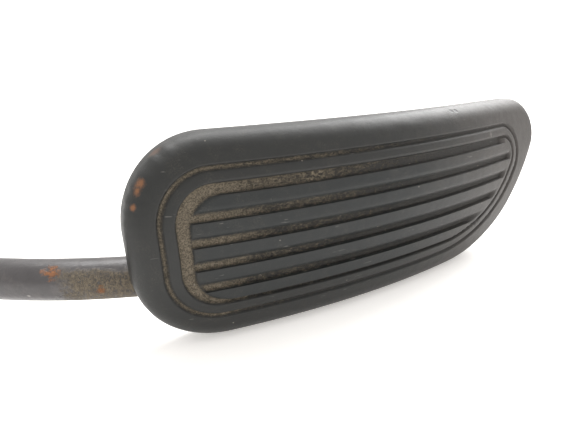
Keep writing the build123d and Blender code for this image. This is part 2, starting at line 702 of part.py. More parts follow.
def make_hinge_bracket():
    """The clevis that is riveted to the backing plate: a seat that follows the plate, and two ears."""
    seat_depth = SKIN + BACKING
    low = LOWER_EAR_INNER - BRACKET_SHEET - CREST.Z
    high = UPPER_EAR_INNER + BRACKET_SHEET - CREST.Z
    middle = (low + high) / 2
    plan = Pos(0, middle) * RectangleRounded(2 * BRACKET_HALF_LENGTH, high - low, BRACKET_CORNER_RADIUS)
    bracket = bowed(seat_depth, seat_depth + BRACKET_SHEET) & pad_prism(plan)
    room = behind(seat_depth + BRACKET_SHEET / 2)
    foot = PIN_DEPTH
    ear = make_face(
        Polyline(
            (-BRACKET_HALF_LENGTH + BRACKET_CORNER_RADIUS, -foot),
            (BRACKET_HALF_LENGTH - BRACKET_CORNER_RADIUS, -foot),
            (BRACKET_EAR_RADIUS, 0),
            (-BRACKET_EAR_RADIUS, 0),
            close=True,
        )
    )
    ear += Circle(BRACKET_EAR_RADIUS)
    ear -= Circle(PIN_RADIUS)
    for ear_low in (LOWER_EAR_INNER - BRACKET_SHEET, UPPER_EAR_INNER):
        solid = Pos(HINGE.X, HINGE.Y, ear_low) * extrude(ear, amount=BRACKET_SHEET)
        bracket += solid & room
    for place in rivet_places():
        bracket -= rivet_bar(place, RIVET_RADIUS)
    return bracket


def make_rivets():
    """Four rivets through the bracket's seat and the backing plate, their heads formed to the seat."""
    rivets = []
    stack = SKIN + BACKING + BRACKET_SHEET
    shank_layer = bowed(SKIN, stack + RIVET_HEAD_HEIGHT / 3)
    room = behind(stack)
    for place in rivet_places():
        x, z = place
        head = Cylinder(RIVET_HEAD_RADIUS, 3 * RIVET_HEAD_HEIGHT, align=(Align.CENTER, Align.CENTER, Align.MAX))
        head = fillet(head.edges().sort_by(Axis.Z)[-1], RIVET_HEAD_HEIGHT * 0.8)
        top = CREST.Y + layer_depth(stack, x, z) + RIVET_HEAD_HEIGHT
        head = Location(Plane(origin=(CREST.X + x, top, CREST.Z + z), z_dir=(0, 1, 0))) * head
        rivets.append((rivet_bar(place, RIVET_RADIUS) & shank_layer) + (head & room))
    return rivets


PIN_HEAD_TOP = LOWER_EAR_INNER - BRACKET_SHEET
PIN_CLIP_LOW = UPPER_EAR_INNER + BRACKET_SHEET + FACE_GAP


def make_hinge_pin():
    """The headed pin through the clevis and the hinge tube."""
    top = PIN_CLIP_LOW + CLIP_THICKNESS + PIN_END_LENGTH
    pin = tube(PIN_RADIUS, 0, PIN_HEAD_TOP, top, HINGE.X, HINGE.Y)
    pin = chamfer(pin.edges().sort_by(Axis.Z)[-1], PIN_CHAMFER)
    pin += tube(PIN_HEAD_RADIUS, 0, PIN_HEAD_TOP - PIN_HEAD_THICKNESS, PIN_HEAD_TOP, HINGE.X, HINGE.Y)
    groove = tube(
        PIN_RADIUS + 1,
        PIN_RADIUS - CLIP_GROOVE_DEPTH,
        PIN_CLIP_LOW,
        PIN_CLIP_LOW + CLIP_THICKNESS,
        HINGE.X,
        HINGE.Y,
    )
    return pin - groove


def make_pad_spring():
    """The small spring that holds the pad's heel against the stop sleeve."""
    mean = PIN_RADIUS + SPRING_INNER_CLEARANCE + PAD_SPRING_WIRE_RADIUS
    low = TUBE_HIGH + HINGE_FLANGE + PAD_SPRING_WIRE_RADIUS + CONTACT_GAP
    offset_from_rod = ROD_RADIUS + PAD_SPRING_WIRE_RADIUS + CONTACT_GAP
    reach = PAD_SPRING_REACH
    seat = layer_depth(SKIN + BACKING + BRACKET_SHEET, mean, UPPER_EAR_INNER - CREST.Z)
    # the lower leg runs along the rod's rear side and hooks down behind it
    angle = atan2(offset_from_rod, -reach)
    leg = sqrt(hypot(reach, offset_from_rod) ** 2 - mean**2)
    sweep_start = degrees(angle + atan2(leg, mean))
    return torsion_spring(
        (HINGE.X, HINGE.Y, low),
        PAD_SPRING_WIRE_RADIUS,
        mean,
        PAD_SPRING_PITCH,
        PAD_SPRING_TURNS + part_turn(sweep_start, 180),
        sweep_start,
        PIN_DEPTH - seat - 2 * CONTACT_GAP,
        leg,
        low - HINGE.Z - ROD_RADIUS / 2,
    )


# ---------------------------------------------------------------- build and write

CHANNEL = make_pivot_channel()
ROD = make_pedal_rod()

first_run = (ROD_POINTS[1] - ROD_POINTS[0]).normalized()
last_run = (ROD_POINTS[3] - ROD_POINTS[4]).normalized()

NODES = {
    "mounting_plate": make_mounting_plate(),
    "pivot_channel": CHANNEL,
    "channel_welds": make_channel_welds(),
    "pivot_bush_upper": make_pivot_bush(1),
    "pivot_bush_lower": make_pivot_bush(-1),
    "stop_cushion": make_stop_cushion(),
    "return_spring": make_return_spring(),
    "pedal_rod": ROD,
    "pivot_shaft": make_pivot_shaft(),
    "shaft_weld": weld_collar(ROD_POINTS[0], first_run, SHAFT_RADIUS, 0),
    "shaft_washers": make_shaft_washers(),
    "shaft_clip": clip_ring(0, PIVOT_Y, CLIP_LOW, SHAFT_RADIUS),
    "spring_sleeve": make_spring_sleeve(),
    "cable_lever": make_cable_lever(),
    "cable_retainer": make_cable_retainer(),
    "stop_bolt": make_stop_bolt(),
    "stop_lock_nut": make_stop_lock_nut(),
    "hinge_tube": make_hinge_tube(),
    "tube_weld": weld_collar(HINGE, last_run, TUBE_RADIUS, HINGE.Z),
    "hinge_bush_upper": make_hinge_bush(True),
    "hinge_bush_lower": make_hinge_bush(False),
    "pad_stop_sleeve": make_pad_stop_sleeve(),
    "tread_cover": make_tread_cover(),
    "backing_plate": make_backing_plate(),
    "hinge_bracket": make_hinge_bracket(),
    "rivets": make_rivets(),
    "hinge_pin": make_hinge_pin(),
    "pin_clip": clip_ring(HINGE.X, HINGE.Y, PIN_CLIP_LOW, PIN_RADIUS),
    "pad_spring": make_pad_spring(),
}

for name, shape in NODES.items():
    if isinstance(shape, list):
        shape = Compound(children=[solid for piece in shape for solid in piece.solids()])
    export_step(shape, f"parts/{name}.step")
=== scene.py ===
"""Accelerator pedal: the looks of a ribbed rubber tread pad on a bent rod, in a bolted bracket."""

import json
import math

import bpy
import numpy as np
from bpy.props import FloatProperty, FloatVectorProperty, PointerProperty
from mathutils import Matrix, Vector

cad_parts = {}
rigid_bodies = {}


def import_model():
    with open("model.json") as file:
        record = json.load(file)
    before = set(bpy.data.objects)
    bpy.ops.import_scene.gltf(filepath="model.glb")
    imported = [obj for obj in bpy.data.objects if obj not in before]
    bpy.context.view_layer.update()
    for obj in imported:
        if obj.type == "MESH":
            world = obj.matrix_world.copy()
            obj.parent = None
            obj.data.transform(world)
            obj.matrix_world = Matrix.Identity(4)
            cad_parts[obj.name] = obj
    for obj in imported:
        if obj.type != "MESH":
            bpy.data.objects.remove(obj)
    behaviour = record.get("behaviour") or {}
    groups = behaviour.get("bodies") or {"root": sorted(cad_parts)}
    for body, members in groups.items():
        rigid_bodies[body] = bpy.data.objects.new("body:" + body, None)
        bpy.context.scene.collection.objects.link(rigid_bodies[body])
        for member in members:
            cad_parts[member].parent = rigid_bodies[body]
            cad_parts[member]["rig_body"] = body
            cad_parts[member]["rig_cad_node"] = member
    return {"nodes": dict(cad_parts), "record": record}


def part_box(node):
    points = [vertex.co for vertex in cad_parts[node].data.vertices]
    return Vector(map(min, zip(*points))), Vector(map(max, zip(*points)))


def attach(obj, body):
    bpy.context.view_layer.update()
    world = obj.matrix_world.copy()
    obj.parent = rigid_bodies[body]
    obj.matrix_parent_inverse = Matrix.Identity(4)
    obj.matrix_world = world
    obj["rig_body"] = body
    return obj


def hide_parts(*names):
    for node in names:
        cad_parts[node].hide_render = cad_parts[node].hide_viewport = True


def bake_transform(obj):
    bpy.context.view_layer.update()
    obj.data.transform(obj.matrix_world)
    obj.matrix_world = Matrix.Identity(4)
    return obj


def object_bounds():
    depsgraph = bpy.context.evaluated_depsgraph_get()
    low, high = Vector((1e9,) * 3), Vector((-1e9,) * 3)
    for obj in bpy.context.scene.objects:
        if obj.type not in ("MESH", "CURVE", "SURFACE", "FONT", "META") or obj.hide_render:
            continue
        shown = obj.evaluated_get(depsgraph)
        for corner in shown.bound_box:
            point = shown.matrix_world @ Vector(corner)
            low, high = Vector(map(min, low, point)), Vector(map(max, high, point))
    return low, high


bl_info = {
    "name": "Accelerator pedal",
    "version": (1, 0, 0),
    "blender": (4, 5, 0),
    "location": "View3D > Sidebar > Pedal",
    "description": "Builds the finished look of an accelerator pedal round its engineering model",
    "category": "Add Mesh",
}

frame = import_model()
CAD_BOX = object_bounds()

MM = 0.001

# the pad's own measures, in millimetres, from its crest: the most forward point of the tread
PAD_HEEL, PAD_TOE, PAD_UPPER, PAD_LOWER = 60.6, 84.5, 26.0, 24.0
PAD_HEEL_RADIUS, PAD_TIP_RADIUS, PAD_BLEND_RADIUS = 20.7, 10.6, 42.0
RING_HEEL, RING_TOE, RING_UPPER, RING_LOWER = 54.7, 68.9, 19.4, 17.1
RING_HEEL_RADIUS, RING_TIP_RADIUS, RING_BLEND_RADIUS = 13.1, 9.9, 48.8
TOE_CUT = math.radians(50.8)
BOW_RADIUS, BOW_HALF_SPAN, CROWN_RADIUS = 247.0, 53.7, 65.0
SKIN, BACKING, BEAD, RIM_WALL, RIM_DEPTH = 3.5, 1.5, 1.3, 3.0, 7.5
OUTER_GROOVE, LAND_EDGE, RING_GROOVE_EDGE, RIB_TOE_EDGE = 1.5, 3.8, 4.9, 6.1
RIB_TOP, RIB_PITCH, RIB_COUNT, RIB_GROOVE = 12.9, 5.5, 5, 2.6
RIB_HEEL, RIB_HEEL_RADIUS = 47.6, 7.6
RIB_BOTTOM = RIB_TOP - RIB_PITCH * RIB_COUNT + RIB_GROOVE

# how the tread's edges run out, in millimetres
OUTER_SHOULDER = 0.15
LAND_ROUND, LAND_ROUND_DROP = 0.8, 0.12
HEEL_WALL_SPREAD = 0.4
TOP_GROOVE_FADE = 3.0
THIN_GROOVE_SHARE = 0.75
SOFT_EDGE_START, SOFT_EDGE_END = 1.7, 0.4
FACE_MARGIN = 0.35              # flat strip between the trimmed grid and the rim's roll
TRIM_SNAP = 0.05                # a grid point this close to the border is kept and pulled onto it
WORN_CORNER, WORN_SPREAD, WORN_HEIGHT = (-52.0, 16.0), 90.0, 0.07
SPINE_HEEL, SPINE_TOE, SPINE_HEIGHT = -36.0, 44.0, 2.0
MERGE_DISTANCE = 0.0005

cover_low, cover_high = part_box("tread_cover")
CREST = Vector((cover_low.x + PAD_HEEL * MM, cover_low.y, cover_low.z + PAD_LOWER * MM))


# ---------------------------------------------------------------- settings

class PedalTreadSettings(bpy.types.PropertyGroup):
    """Sizes and colours of the rubber tread."""

    groove_depth: FloatProperty(name="Groove depth", description="Depth of the tread's grooves",
                                default=1.2 * MM, unit="LENGTH")
    ring_depth: FloatProperty(name="Ring depth", description="Depth of the thin outer ring groove",
                              default=0.9 * MM, unit="LENGTH")
    rim_round: FloatProperty(name="Rim roll", description="How far the front edge rolls over",
                             default=4.0 * MM, unit="LENGTH")
    lip: FloatProperty(name="Rib lip", description="Width of the crisp wall on each rib's upper edge",
                       default=0.3 * MM, unit="LENGTH")
    rubber: FloatVectorProperty(name="Rubber", description="Colour of clean rubber", subtype="COLOR",
                                default=(0.0085, 0.0088, 0.0080))
    # the haze colour is partly a worn film and partly a painted highlight, the grazing sheen at the toe
    haze_and_sheen: FloatVectorProperty(name="Haze", description="Colour of the worn film near the toe",
                              subtype="COLOR", default=(0.085, 0.074, 0.068))
    dust: FloatVectorProperty(name="Dust", description="Colour of the dust in the grooves", subtype="COLOR",
                              default=(0.21, 0.175, 0.128))
    rust: FloatVectorProperty(name="Rust", description="Colour of rust stains", subtype="COLOR",
                              default=(0.30, 0.115, 0.035))


class PedalMetalSettings(bpy.types.PropertyGroup):
    """Colours of the metal and plastic pieces."""

    paint: FloatVectorProperty(name="Paint", description="Colour of the worn rod paint", subtype="COLOR",
                               default=(0.040, 0.036, 0.037))
    bracket: FloatVectorProperty(name="Bracket paint", description="Colour of the bracket's paint",
                                 subtype="COLOR", default=(0.020, 0.020, 0.021))
    zinc: FloatVectorProperty(name="Zinc", description="Colour of the dulled zinc plating", subtype="COLOR",
                              default=(0.42, 0.39, 0.32))
    spring: FloatVectorProperty(name="Spring wire", description="Colour of the oiled spring wire",
                                subtype="COLOR", default=(0.10, 0.095, 0.09))
    nylon: FloatVectorProperty(name="Nylon", description="Colour of the aged nylon", subtype="COLOR",
                               default=(0.46, 0.42, 0.33))


class PedalStageSettings(bpy.types.PropertyGroup):
    """Camera, floor and light."""

    camera_place: FloatVectorProperty(name="Camera place", description="Where the camera is from the crest",
                                      subtype="TRANSLATION", default=(-69.1 * MM, -79.6 * MM, 35.7 * MM))
    camera_turn: FloatVectorProperty(name="Camera turn", description="Which way the camera looks",
                                     subtype="EULER", default=(1.25623, 0.04381, -0.50507))
    lens: FloatProperty(name="Lens", description="Focal length in millimetres", default=26.18,
                         unit="CAMERA")
    sky: FloatProperty(name="Surround", description="Brightness of the white surround", default=1.16)
    key: FloatProperty(name="Key light", description="Power of the overhead panel", default=2.0,
                       unit="POWER")
    side: FloatProperty(name="Side light", description="Power of the panel past the toe", default=3.2,
                        unit="POWER")
    floor: FloatVectorProperty(name="Floor", description="Colour of the floor", subtype="COLOR",
                               default=(0.93, 0.925, 0.915))


# ---------------------------------------------------------------- shader wrapper

class Signal:
    """One value of a material; arithmetic on it adds Math nodes."""

    def __init__(self, finish, socket):
        self.finish = finish
        self.socket = socket

    def math(self, operation, *values):
        return self.finish.node("ShaderNodeMath", {"operation": operation}, dict(enumerate(values)))

    def __add__(self, other):
        return self.math("ADD", self, other)

    def __sub__(self, other):
        return self.math("SUBTRACT", self, other)

    def __rsub__(self, other):
        return self.math("SUBTRACT", other, self)

    def __mul__(self, other):
        return self.math("MULTIPLY", self, other)

    def least(self, other):
        return self.math("MINIMUM", self, other)

    def most(self, other):
        return self.math("MAXIMUM", self, other)

    __radd__ = __add__
    __rmul__ = __mul__


class Finish:
    """A procedural material, its patterns measured in millimetres from a chosen centre."""

    def __init__(self, name, centre=(0.0, 0.0, 0.0)):
        self.material = bpy.data.materials.new(name)
        self.material.use_nodes = True
        self.tree = self.material.node_tree
        self.tree.nodes.clear()
        self.output = self.tree.nodes.new("ShaderNodeOutputMaterial")
        place = self.node("ShaderNodeTexCoord", {}, {}, "Object")
        moved = self.node("ShaderNodeVectorMath", {"operation": "SUBTRACT"}, {0: place, 1: tuple(centre)})
        self.place = self.node("ShaderNodeVectorMath", {"operation": "SCALE"}, {0: moved, "Scale": 1 / MM})
        self.x = self.node("ShaderNodeSeparateXYZ", {}, {0: self.place}, "X")
        self.y = self.node("ShaderNodeSeparateXYZ", {}, {0: self.place}, "Y")
        self.z = self.node("ShaderNodeSeparateXYZ", {}, {0: self.place}, "Z")

    def node(self, kind, settings, values, output=0):
        """Adds any node: its settings first, then the values or links of its sockets."""
        made = self.tree.nodes.new(kind)
        for key, value in settings.items():
            if key == "stops":
                self.set_stops(made.color_ramp, value)
            else:
                setattr(made, key, value)
        for key, value in values.items():
            if isinstance(value, Signal):
                self.tree.links.new(value.socket, made.inputs[key])
            else:
                made.inputs[key].default_value = value
        return Signal(self, made.outputs[output])

    @staticmethod
    def set_stops(ramp, stops):
        while len(ramp.elements) < len(stops):
            ramp.elements.new(1.0)
        for element, (position, shade) in zip(ramp.elements, stops):
            element.position = position
            element.color = (shade, shade, shade, 1.0)

    def noise(self, scale, detail=3.0, roughness=0.55, place=None, distortion=0.0):
        """Noise with about that many lumps in a millimetre."""
        return self.node("ShaderNodeTexNoise", {}, {
            "Vector": place or self.place, "Scale": scale, "Detail": detail, "Roughness": roughness,
            "Distortion": distortion})

    def cells(self, scale):
        return self.node("ShaderNodeTexVoronoi", {}, {"Vector": self.place, "Scale": scale}, "Distance")

    def step(self, value, low, high):
        """0 below low, 1 above high, and smooth between."""
        return self.node("ShaderNodeMapRange", {"interpolation_type": "SMOOTHSTEP"},
                         {"Value": value, "From Min": low, "From Max": high})

    def stretched(self, x, y, z):
        return self.node("ShaderNodeVectorMath", {"operation": "MULTIPLY"}, {0: self.place, 1: (x, y, z)})

    def near(self, point, radius, soft=0.35, rough=0.8):
        """1 inside a blotch round a point, with a ragged edge."""
        away = self.node("ShaderNodeVectorMath", {"operation": "DISTANCE"}, {0: self.place, 1: tuple(point)},
                         "Value")
        ragged = away + (self.noise(0.9, 4.0, 0.7) - 0.5) * (2 * rough * radius)
        return 1 - self.step(ragged, radius * (1 - soft), radius)

    def attribute(self, name):
        return self.node("ShaderNodeAttribute", {"attribute_name": name}, {}, "Fac")

    def mix(self, factor, first, second):
        """Blends two colours."""
        values = {0: factor}
        for key, colour in ((6, first), (7, second)):
            values[key] = colour if isinstance(colour, Signal) else (*colour, 1.0)
        return self.node("ShaderNodeMix", {"data_type": "RGBA"}, values, 2)

    def bump(self, height, strength, distance, under=None):
        values = {"Height": height, "Strength": strength, "Distance": distance}
        if under:
            values["Normal"] = under
        return self.node("ShaderNodeBump", {}, values, "Normal")

    def shade(self, colour, roughness, normal=None, **constants):
        """Ends the material with one surface shader."""
        values = {"Base Color": colour, "Roughness": roughness}
        if normal:
            values["Normal"] = normal
        for key, value in constants.items():
            values[key.replace("_", " ")] = value
        surface = self.node("ShaderNodeBsdfPrincipled", {}, values)
        self.tree.links.new(surface.socket, self.output.inputs["Surface"])
        return self.material


def scaled(colour, factor):
    return tuple(channel * factor for channel in colour)


# ---------------------------------------------------------------- shared modelling helpers

def clear_selection():
    """Nothing selected and nothing active, in object mode."""
    if bpy.context.mode != "OBJECT":
        bpy.ops.object.mode_set(mode="OBJECT")
    bpy.ops.object.select_all(action="DESELECT")
    bpy.context.view_layer.objects.active = None


def only(piece):
    clear_selection()
    piece.select_set(True)
    bpy.context.view_layer.objects.active = piece
    return piece


def dress(piece, material):
    """Gives a piece one material."""
    if piece is None:
        raise RuntimeError("There is no piece to dress")
    piece.data.materials.clear()
    piece.data.materials.append(material)


def copy_of_node(node, name):
    """A free copy of an engineering piece, with its loose triangles merged."""
    only(frame["nodes"][node])
    bpy.ops.object.duplicate(linked=False)
    piece = bpy.context.view_layer.objects.active
    piece.name = name
    piece.data.name = name
    world = piece.matrix_world.copy()
    piece.parent = None
    piece.matrix_world = world
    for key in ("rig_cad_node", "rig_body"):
        if key in piece:
            del piece[key]
    only(piece)
    bpy.ops.object.mode_set(mode="EDIT")
    bpy.ops.mesh.select_all(action="SELECT")
    bpy.ops.mesh.remove_doubles(threshold=MERGE_DISTANCE * MM)
    bpy.ops.object.mode_set(mode="OBJECT")
    bpy.ops.object.shade_smooth_by_angle(angle=math.radians(40))
    return piece


# ---------------------------------------------------------------- tread surface

def rounded_plan(heel, toe, upper, lower, heel_radius, tip_radius, blend_radius, samples=36):
    """A closed plan outline: a long rectangle with round heel corners and a slanted toe end."""
    tip = np.array((toe - tip_radius, upper - tip_radius))
    edge = tip + tip_radius * np.array((math.sin(TOE_CUT), -math.cos(TOE_CUT)))
    top_x = edge[0] + (upper - edge[1]) / math.tan(TOE_CUT)
    bottom_x = edge[0] - (edge[1] + lower) / math.tan(TOE_CUT)
    corners = np.array(((-heel, -lower), (bottom_x, -lower), (top_x, upper), (-heel, upper)))
    radii = (heel_radius, blend_radius, tip_radius, heel_radius)
    points = []
    for index, (corner, radius) in enumerate(zip(corners, radii)):
        before = corners[index - 1] - corner
        after = corners[(index + 1) % len(corners)] - corner
        before /= np.linalg.norm(before)
        after /= np.linalg.norm(after)
        half = math.acos(float(before @ after)) / 2
        middle = (before + after) / np.linalg.norm(before + after)
        centre = corner + middle * radius / math.sin(half)
        start = corner + before * radius / math.tan(half) - centre
        end = corner + after * radius / math.tan(half) - centre
        first = math.atan2(start[1], start[0])
        turn = (math.atan2(end[1], end[0]) - first + math.pi) % (2 * math.pi) - math.pi
        angles = first + np.linspace(0, 1, samples) * turn
        points.append(centre + radius * np.column_stack((np.cos(angles), np.sin(angles))))
    closed = np.concatenate(points)
    return np.vstack((closed, closed[:1]))


def inside_distance(points, outline):
    """How far plan points lie inside an outline, and the unit direction inwards at each."""
    start, run = outline[:-1], np.diff(outline, axis=0)
    length = (run ** 2).sum(1)
    keep = length > 1e-12
    start, run, length = start[keep], run[keep], length[keep]
    normal = np.column_stack((-run[:, 1], run[:, 0])) / np.sqrt(length)[:, None]
    distance = np.empty(len(points))
    inward = np.empty((len(points), 2))
    for low in range(0, len(points), 4096):
        part = points[low:low + 4096]
        offset = part[:, None] - start
        along = np.clip((offset * run).sum(-1) / length, 0, 1)
        offset -= along[..., None] * run
        square = (offset ** 2).sum(-1)
        nearest = square.argmin(1)
        row = np.arange(len(part))
        away = offset[row, nearest]
        side = np.where((away * normal[nearest]).sum(1) >= 0, 1.0, -1.0)
        size = np.sqrt(square[row, nearest])
        distance[low:low + 4096] = side * size
        unit = away * (side / np.maximum(size, 1e-9))[:, None]
        inward[low:low + 4096] = np.where(size[:, None] > 1e-6, unit, normal[nearest])
    return distance, inward


def smooth(value, low, high):
    share = np.clip((value - low) / (high - low), 0, 1)
    return share * share * (3 - 2 * share)


def lifted(plan, depth):
    """Plan points, in millimetres, put on the bowed and crowned layer at a depth behind the tread."""
    depth = np.broadcast_to(depth, (len(plan),))
    reach = CROWN_RADIUS - depth
    drop = CROWN_RADIUS - np.sqrt(reach ** 2 - plan[:, 1] ** 2)
    run = np.linspace(-120, 120, 4801)
    angle = np.clip(run, -BOW_HALF_SPAN, BOW_HALF_SPAN) / BOW_RADIUS
    gap = run[1] - run[0]
    path_x = np.cumsum(np.cos(angle)) * gap
    path_y = np.cumsum(np.sin(angle)) * gap
    path_x -= np.interp(0, run, path_x)
    path_y -= np.interp(0, run, path_y)
    foot = plan[:, 0].copy()
    for _ in range(5):
        lean = np.interp(foot, path_x, angle)
        foot = plan[:, 0] + np.sin(lean) * drop
    lean = np.interp(foot, path_x, angle)
    back = np.interp(foot, path_x, path_y) + np.cos(lean) * drop
    return np.column_stack((plan[:, 0], back, plan[:, 1]))


def grid_lines(stretches):
    """Grid lines over stretches of (start, end, step)."""
    lines = [np.array([stretches[0][0]])]
    for start, end, step in stretches:
        count = max(1, round((end - start) / step))
        lines.append(np.linspace(start, end, count + 1)[1:])
    return np.concatenate(lines)


def tread_lines():
    """Grid lines along and across the pad, close together where the tread has edges."""
    bottom = RIB_BOTTOM
    along = grid_lines(((-PAD_HEEL, -44, 0.28), (-44, 12, 1.1), (12, PAD_TOE, 0.26)))
    rib = np.array((-0.5, -0.25, -0.1, 0, 0.1, 0.2, 0.3, 0.45, 0.7, 0.9, 1.15, 1.4, 1.65, 1.9, 2.15, 2.4,
                    2.65, 3.0, 3.5, 4.0, 4.5))
    across = [RIB_TOP - RIB_PITCH * index + rib for index in range(RIB_COUNT)]
    across.append(grid_lines(((-PAD_LOWER, -18.0, 0.4), (-18.0, bottom - 0.1, 0.24))))
    across.append(bottom + np.array((0.0, 0.3, 0.7, 1.2, 1.8)))
    across.append(grid_lines(((17.4, 19.8, 0.24), (19.8, PAD_UPPER, 0.4))))
    lines = np.unique(np.round(np.concatenate(across), 3))
    return along, lines


def outer_sink(ring, depth):
    """The outer ring groove, round in section, and the rounded side of the land inside it."""
    middle = OUTER_GROOVE / 2
    outer = np.clip(1 - np.abs(ring - middle) / (middle + OUTER_SHOULDER), 0, 1)
    sink = depth * smooth(outer, 0, 0.8)
    land = (ring > OUTER_GROOVE) & (ring < LAND_EDGE)
    rounding = LAND_ROUND_DROP * (1 - smooth(ring, OUTER_GROOVE, OUTER_GROOVE + LAND_ROUND))
    return np.where(land, sink + rounding, sink), outer


def field_sink(ring, x, z, lip):
    """The floor round the rib field, the thin toe groove and the grooves between the ribs, from 0 to 1."""
    # distance outside the rib field, a rectangle with round heel corners
    half = (RIB_TOP - RIB_BOTTOM) / 2
    centre = (RIB_TOP + RIB_BOTTOM) / 2
    reach_x = -(x + RIB_HEEL) + RIB_HEEL_RADIUS
    reach_z = np.abs(z - centre) - half + RIB_HEEL_RADIUS
    corner = np.hypot(np.maximum(reach_x, 0), np.maximum(reach_z, 0))
    outside = corner + np.minimum(np.maximum(reach_x, reach_z), 0) - RIB_HEEL_RADIUS
    wall = lip + HEEL_WALL_SPREAD * np.maximum(reach_x, 0) / np.maximum(corner, 1e-6)
    top_end = RING_TOE - RING_TIP_RADIUS
    land_wall = smooth(ring, LAND_EDGE - 0.1, LAND_EDGE + 0.5)
    open_end = 1 - smooth(x, top_end - TOP_GROOVE_FADE, top_end + 0.5) * (z > centre)
    sunk = smooth(outside / wall, 0, 1) * land_wall * open_end
    thin = smooth(ring, LAND_EDGE - 0.1, LAND_EDGE + 0.3)
    thin = thin * (1 - smooth(ring, RING_GROOVE_EDGE - 0.35, RING_GROOVE_EDGE + 0.1))
    sunk = np.maximum(sunk, THIN_GROOVE_SHARE * thin)
    toe_wall = smooth(ring, RIB_TOE_EDGE - 0.3, RIB_TOE_EDGE + 1.1) * (outside < wall)
    for index in range(1, RIB_COUNT):
        rise = z - (RIB_TOP - RIB_PITCH * index)
        soft = 1 - smooth(rise, RIB_GROOVE - SOFT_EDGE_START, RIB_GROOVE + SOFT_EDGE_END)
        sunk = np.maximum(sunk, smooth(rise, 0, lip) * soft * toe_wall)
    return sunk


def tread_sink(plan, settings):
    """How far each plan point is sunk below the tread's face, in millimetres, and its share of a groove."""
    outline = rounded_plan(RING_HEEL, RING_TOE, RING_UPPER, RING_LOWER, RING_HEEL_RADIUS, RING_TIP_RADIUS,
                           RING_BLEND_RADIUS)
    ring, _ = inside_distance(plan, outline)
    sink, outer = outer_sink(ring, settings.ring_depth / MM)
    sunk = field_sink(ring, plan[:, 0], plan[:, 1], settings.lip / MM)
    return sink + settings.groove_depth / MM * sunk, np.maximum(sunk, outer)


def rim_profile(roll):
    """The rim's section from the face over the edge to the inside: (inset, layer depth, extra fall)."""
    steps = [(roll * (1 - math.sin(turn)), 0.0, roll * (1 - math.cos(turn)))
             for turn in np.radians((0, 14, 28, 42, 56, 72, 90))]
    steps += [(0.0, 6.2, 0.0), (0.0, 7.0, 0.0), (0.25, 7.35, 0.0), (0.8, RIM_DEPTH, 0.0),
              (2.2, RIM_DEPTH, 0.0), (2.8, 7.3, 0.0), (RIM_WALL, 6.9, 0.0)]
    lip = SKIN + BACKING
    steps += [(RIM_WALL, lip + BEAD + 0.2, 0.0), (RIM_WALL + 0.3, lip + BEAD, 0.0),
              (RIM_WALL + BEAD - 0.3, lip + BEAD, 0.0), (RIM_WALL + BEAD, lip + BEAD - 0.4, 0.0),
              (RIM_WALL + BEAD, lip + 0.1, 0.0), (RIM_WALL, lip + 0.02, 0.0), (RIM_WALL, SKIN + 0.1, 0.0)]
    return steps


def read_points(data, name, width=3):
    """A point attribute of the mesh as an array."""
    kind = "vector" if width == 3 else "value"
    values = np.empty(len(data.vertices) * width, np.float32)
    data.attributes[name].data.foreach_get(kind, values)
    return values.reshape(-1, width).astype(float)


def write_points(data, name, values):
    """Writes an array to a point attribute of the mesh, adding it when it is new."""
    flat = values.ndim == 1
    if name not in data.attributes:
        data.attributes.new(name, "FLOAT" if flat else "FLOAT_VECTOR", "POINT")
    data.attributes[name].data.foreach_set("value" if flat else "vector", values.astype(np.float32).ravel())
    data.update()


def chosen_points(data):
    """Which of the mesh's points are selected."""
    chosen = np.empty(len(data.vertices), bool)
    data.vertices.foreach_get("select", chosen)
    return chosen


def plan_grid(name, along, across):
    """A flat grid primitive with its lines moved to given places; its plan is kept as an attribute."""
    clear_selection()
    bpy.ops.mesh.primitive_grid_add(x_subdivisions=len(along) - 1, y_subdivisions=len(across) - 1, size=1)
    piece = bpy.context.view_layer.objects.active
    piece.name = name
    piece.data.name = name
    flat = read_points(piece.data, "position") + 0.5
    column = np.rint(flat[:, 0] * (len(along) - 1)).astype(int)
    row = np.rint(flat[:, 1] * (len(across) - 1)).astype(int)
    plan = np.column_stack((along[column], across[row], np.zeros(len(flat))))
    write_points(piece.data, "plan", plan)
    return piece


def trim_grid(piece, outline, inset):
    """Deletes the grid outside an outline's inset, and pulls the border that is left onto the inset.

    Each point keeps the direction inwards and, as a third number, its distance inside the outline.
    """
    data = piece.data
    plan = read_points(data, "plan")
    distance, inward = inside_distance(plan[:, :2], outline)
    write_points(data, "inward", np.column_stack((inward, distance)))
    bpy.ops.object.mode_set(mode="EDIT")
    bpy.ops.mesh.select_mode(type="VERT")
    bpy.ops.mesh.select_all(action="DESELECT")
    bpy.ops.object.mode_set(mode="OBJECT")
    data.vertices.foreach_set("select", distance < inset - TRIM_SNAP)
    bpy.ops.object.mode_set(mode="EDIT")
    bpy.ops.mesh.delete(type="VERT")
    for _ in range(2):
        bpy.ops.mesh.select_all(action="SELECT")
        bpy.ops.mesh.delete_loose(use_verts=True, use_edges=True, use_faces=False)
    bpy.ops.mesh.select_mode(type="EDGE")
    bpy.ops.mesh.select_all(action="SELECT")
    bpy.ops.mesh.region_to_loop()
    bpy.ops.object.mode_set(mode="OBJECT")
    border = chosen_points(data)
    plan = read_points(data, "plan")
    inward = read_points(data, "inward")
    plan[border, :2] += inward[border, :2] * (inset - inward[border, 2:])
    write_points(data, "plan", plan)


def extruded_ring(piece, place):
    """Extrudes the chosen border loop and puts the new loop where place(plan, inward) says."""
    data = piece.data
    bpy.ops.object.mode_set(mode="EDIT")
    bpy.ops.mesh.extrude_edges_indiv()
    bpy.ops.object.mode_set(mode="OBJECT")
    ring = chosen_points(data)
    points = read_points(data, "position")
    plan = read_points(data, "plan")[ring, :2]
    points[ring] = place(plan, read_points(data, "inward")[ring, :2]) * MM + np.array(CREST)
    write_points(data, "position", points)
    groove = read_points(data, "groove", 1)[:, 0]
    groove[ring] = 0
    write_points(data, "groove", groove)


